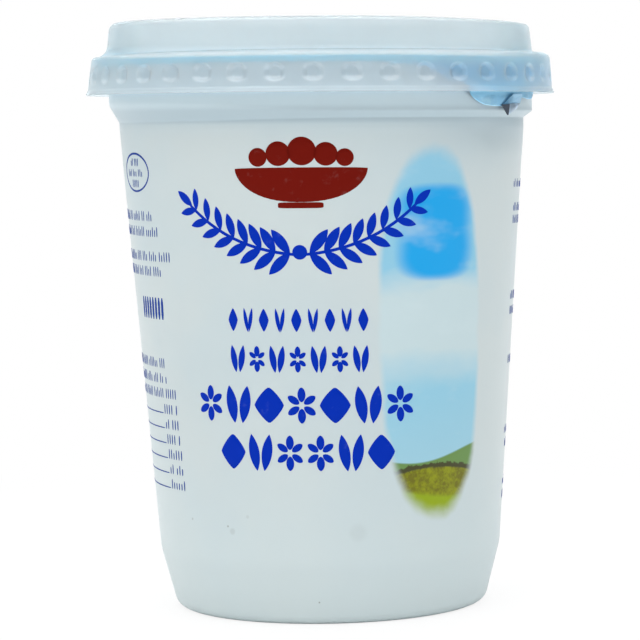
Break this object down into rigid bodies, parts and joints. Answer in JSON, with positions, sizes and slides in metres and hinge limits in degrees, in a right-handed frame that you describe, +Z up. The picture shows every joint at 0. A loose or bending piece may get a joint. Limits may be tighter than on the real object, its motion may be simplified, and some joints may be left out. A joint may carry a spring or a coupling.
{
  "type": "cottage cheese tub",
  "caption": "Tall tapered plastic tub of cottage cheese, shut by a foil seal with a hanging pull tab under a milky press-on lid with a dimpled skirt.",
  "frame": {"origin": "centre of the standing ring's underside, on the pot's axis", "axes": "+Z up along the pot's axis, -Y out of the decorated side that the picture shows, +X to that side's right, where the foil's tab hangs"},
  "size_m": [0.0996, 0.0996, 0.1243],
  "materials": {
    "pot": "smooth opaque white moulded polypropylene with printed decoration",
    "foil": "thin foil, light blue print outside, crinkled where it is folded down",
    "lid": "thin milky translucent moulded plastic"
  },
  "bodies": {
    "root": {"pot": "pot", "foil_seal": "foil", "lid": "lid"}
  },
  "joints": []
}
